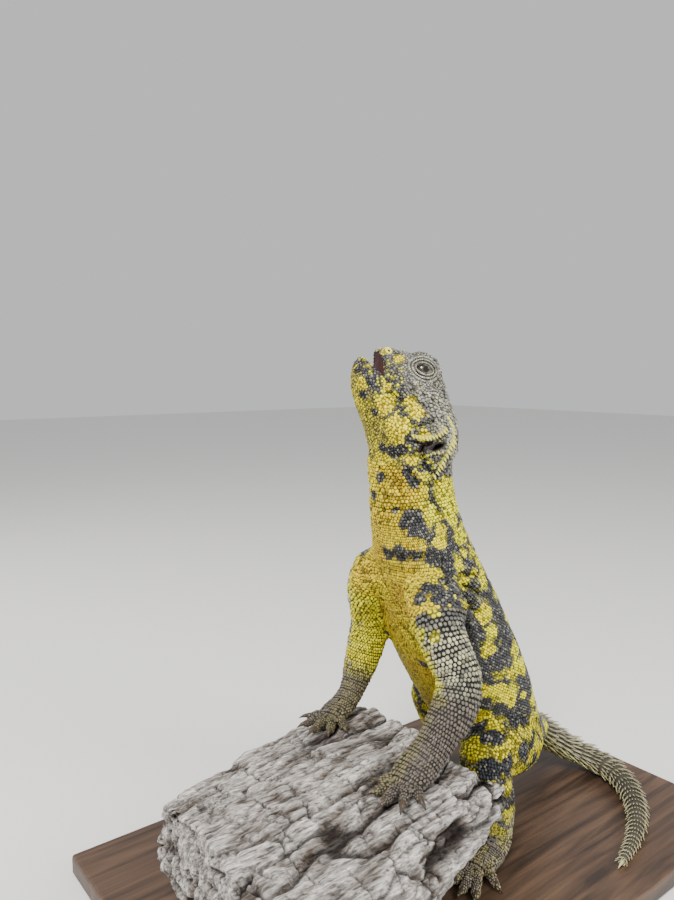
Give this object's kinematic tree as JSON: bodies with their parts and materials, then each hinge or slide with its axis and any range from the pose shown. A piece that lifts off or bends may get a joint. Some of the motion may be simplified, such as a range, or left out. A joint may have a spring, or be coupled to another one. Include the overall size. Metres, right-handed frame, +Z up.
{
  "type": "uromastyx model",
  "caption": "Still, life-size model of a yellow and black uromastyx rearing up, forefeet on a piece of cork bark, mouth a little open, on a plain display stand",
  "frame": {"origin": "middle of the stand base's underside, at the object's lowest level", "axes": "+Z up, -Y the way the animal faces, +X to the animal's left"},
  "size_m": [0.15, 0.236, 0.2044],
  "materials": {
    "skin": "scaly hide, lemon yellow with a black and charcoal net",
    "tail": "whorls of horny spines, grey olive above and cream yellow below",
    "eye": "wet, glossy dark eye",
    "tongue": "moist pink",
    "cork": "raw grooved cork bark, grey white",
    "base": "dark stained board, satin",
    "rod": "brushed round bar"
  },
  "bodies": {
    "root": {"arm_upper_left": "skin", "arm_upper_right": "skin", "eye_left": "eye", "eye_right": "eye", "foot_left": "skin", "foot_right": "skin", "forearm_left": "skin", "forearm_right": "skin", "hand_left": "skin", "hand_right": "skin", "head": "skin", "lower_jaw": "skin", "neck": "skin", "perch_log": "cork", "shank_left": "skin", "shank_right": "skin", "stand_base": "base", "stand_rod_1": "rod", "stand_rod_2": "rod", "tail_base": "tail", "tail_middle": "tail", "tail_tip": "tail", "thigh_left": "skin", "thigh_right": "skin", "tongue": "tongue", "torso": "skin"}
  },
  "joints": []
}
